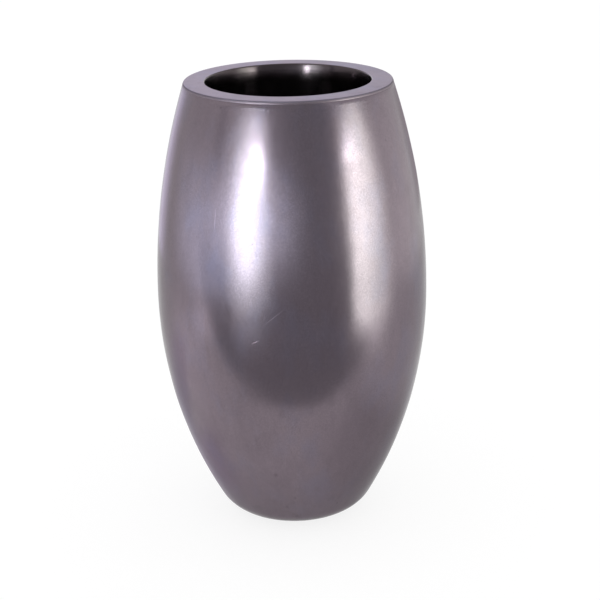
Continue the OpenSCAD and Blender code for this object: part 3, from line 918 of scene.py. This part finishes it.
class PLANTER_OT_stage(bpy.types.Operator):
    """Sets up the camera, the white floor and the studio lights"""

    bl_idname = "planter.stage"
    bl_label = "Stage"

    def execute(self, context):
        g = context.scene.planter_stage
        self.camera(context, g)
        self.floor()
        self.lights(g)
        world = bpy.data.worlds.new("studio")
        context.scene.world = world
        world.use_nodes = True
        light = world.node_tree.nodes["Background"]
        light.inputs["Color"].default_value = (1, 1, 1, 1)
        light.inputs["Strength"].default_value = 1.0
        context.scene.view_settings.view_transform = "Standard"
        return {"FINISHED"}

    def camera(self, context, g):
        bpy.ops.object.camera_add(location=(0, g.camera_y, g.camera_z))
        camera = bpy.context.object
        camera.data.lens = g.lens
        camera.data.sensor_width = 36
        camera.data.clip_start, camera.data.clip_end = 0.05, 60
        forward = Vector((0, math.cos(g.tilt), -math.sin(g.tilt)))
        right = Vector((1, 0, 0))
        up = right.cross(forward)
        ahead = forward * math.cos(g.turn) + right * math.sin(g.turn)
        side = right * math.cos(g.turn) - forward * math.sin(g.turn)
        x = side * math.cos(g.roll) + up * math.sin(g.roll)
        y = up * math.cos(g.roll) - side * math.sin(g.roll)
        turned_by = camera.matrix_world.to_3x3()
        turned_by.col[0], turned_by.col[1], turned_by.col[2] = x, y, -ahead
        camera.rotation_mode = "QUATERNION"
        camera.rotation_quaternion = turned_by.to_quaternion()
        context.scene.camera = camera

    def floor(self):
        fresh()
        bpy.ops.mesh.primitive_plane_add(size=16)
        floor = bpy.context.object
        floor.name = "studio_floor"
        made = bpy.data.materials.new("white sheet")
        made.use_nodes = True
        tree = made.node_tree
        paper = tree.nodes["Principled BSDF"]
        paper.inputs["Base Color"].default_value = (0.92, 0.92, 0.92, 1)
        paper.inputs["Roughness"].default_value = 0.9
        rays = tree.nodes.new("ShaderNodeLightPath")
        seen = rays.outputs["Is Camera Ray"]
        for kind in ("Is Glossy Ray", "Is Transmission Ray"):
            either = tree.nodes.new("ShaderNodeMath")
            either.operation = "MAXIMUM"
            tree.links.new(seen, either.inputs[0])
            tree.links.new(rays.outputs[kind], either.inputs[1])
            seen = either.outputs[0]
        white = tree.nodes.new("ShaderNodeEmission")
        white.inputs["Strength"].default_value = 1.04
        mix = tree.nodes.new("ShaderNodeMixShader")
        tree.links.new(product(tree, seen, 0.8), mix.inputs["Fac"])
        tree.links.new(paper.outputs[0], mix.inputs[1])
        tree.links.new(white.outputs[0], mix.inputs[2])
        tree.links.new(mix.outputs[0], tree.nodes["Material Output"].inputs["Surface"])
        floor.data.materials.append(made)

    def lights(self, g):
        half = (0.5, 0.5, 0.5, 0.5)
        reach = 3.2
        mat("dim_floor", (0, g.sheet_edge - reach / 2, 0.001), 9, reach,
            (0.957, 0.96, 1.0), 0.492, (0.01, 0.99, None, 0.995), True)
        mat("dim_rear", (-0.6, 0.3, 0.001), 1.0, 0.5, (0.9, 0.86, 1.0), 0.78, (0.3, 0.7, 0.2, 0.4), True)
        mat("dim_low", (0.27, -0.06, 0.0005), 0.62, 0.84,
            (1.0, 0.99, 1.0), 0.72, (0.4, 0.6, 0.4, 0.65), True)
        mat("dim_left", (-0.24, 0.04, 0.0005), 0.34, 0.44,
            (0.93, 0.86, 1.0), 0.88, (0.4, 0.6, 0.35, 0.65), True)
        card("dim_front", 0, 2.9, 1.93, 7.0, 5.88, (0.926, 0.952, 1.0), 0.54, (0.6, 0.8, None, 0.93), True)
        card("dim_right", 154, 2.4, 0.22, 1.56, 1.05, (1.0, 0.85, 0.97), 0.515, (0.3, 0.7, 0.3, 0.7), True)
        card("left_box", -34, 1.5, 0.65, 1.2, 1.48, (0.87, 1.0, 1.0), 9.9, (0.57, 0.3, 0.41, 0.49))
        card("left_spill", -31, 1.6, 0.62, 3.6, 0.98, (0.77, 0.88, 1.0), 2.0, half)
        card("right_box", 68.4, 1.3, 0.22, 1.17, 1.78, (0.9, 1.0, 0.88), 7.0, (0.17, 0.05, 0.7, 0.71))
        card("right_spill", 64.2, 1.4, 0.96, 1.0, 0.8, (0.88, 1.0, 0.86), 2.5, half)
        card("left_wall", -73, 1.8, 0.3, 4.0, 1.34, (0.69, 0.82, 1.0), 1.34, half)
        card("right_wall", 116, 1.8, 0.17, 3.9, 3.23, (0.96, 1.0, 0.925), 0.706, half)
        card("left_back", -144, 1.8, 0.36, 1.32, 2.66, (0.73, 0.625, 1.0), 0.93, half)
        card("back_glow", -163, 2.2, 1.5, 3.0, 1.4, (0.8, 0.7, 1.0), 0.62, half)
        card("left_spot", -28.2, 1.4, 0.89, 0.34, 0.12, (0.9, 0.96, 1.0), 85.0, half)
        card("right_spot", 54, 1.25, 0.87, 0.5, 0.12, (0.98, 1.0, 0.97), 9.5, half)
        card("left_top", -32.5, 1.5, 0.98, 0.62, 0.9, (0.87, 1.0, 1.0), 1.3, half)
        card("dim_gap", -67.5, 1.74, 1.02, 0.34, 0.62,
             (0.92, 0.93, 1.0), 0.66, (0.35, 0.65, 0.3, 0.8), True)
        mat("lit_floor", (-0.9, 0.1, 0.002), 1.8, 1.1, (1.0, 0.95, 1.0), 0.45, half)
        mat("lit_left", (-1.3, -0.38, 0.003), 1.0, 0.8, (0.95, 0.95, 1.0), 0.8, half)
        mat("lit_front", (-0.78, -1.02, 0.003), 0.8, 0.8, (0.93, 0.97, 1.0), 0.45, half)
        mat("lit_right", (1.08, -0.6, 0.003), 0.85, 0.95, (0.95, 1.0, 0.93), 1.5, half)


class PLANTER_PT_panel(bpy.types.Panel):
    """Lists the planter's pieces and sizes"""

    bl_label = "Planter"
    bl_idname = "PLANTER_PT_panel"
    bl_space_type = "VIEW_3D"
    bl_region_type = "UI"
    bl_category = "Planter"

    def draw(self, context):
        for name in GROUPS:
            group = getattr(context.scene, name)
            box = self.layout.box()
            for key in group.__annotations__:
                box.prop(group, key)
        for piece in PIECES:
            self.layout.operator(piece.bl_idname)


GROUPS = {"planter_sizes": PlanterSizes, "planter_finish": PlanterFinish, "planter_stage": PlanterStage}
PIECES = (PLANTER_OT_shell, PLANTER_OT_rim, PLANTER_OT_neck, PLANTER_OT_insert, PLANTER_OT_handles,
          PLANTER_OT_base, PLANTER_OT_inner, PLANTER_OT_stage)


def register():
    for kind in (*GROUPS.values(), *PIECES, PLANTER_PT_panel):
        bpy.utils.register_class(kind)
    for name, kind in GROUPS.items():
        setattr(bpy.types.Scene, name, PointerProperty(type=kind))


def unregister():
    for name in GROUPS:
        delattr(bpy.types.Scene, name)
    for kind in (PLANTER_PT_panel, *reversed(PIECES), *GROUPS.values()):
        bpy.utils.unregister_class(kind)


def main():
    register()
    for piece in PIECES:
        group, name = piece.bl_idname.split(".")
        getattr(getattr(bpy.ops, group), name)()
    fresh()


if __name__ == "__main__":
    main()
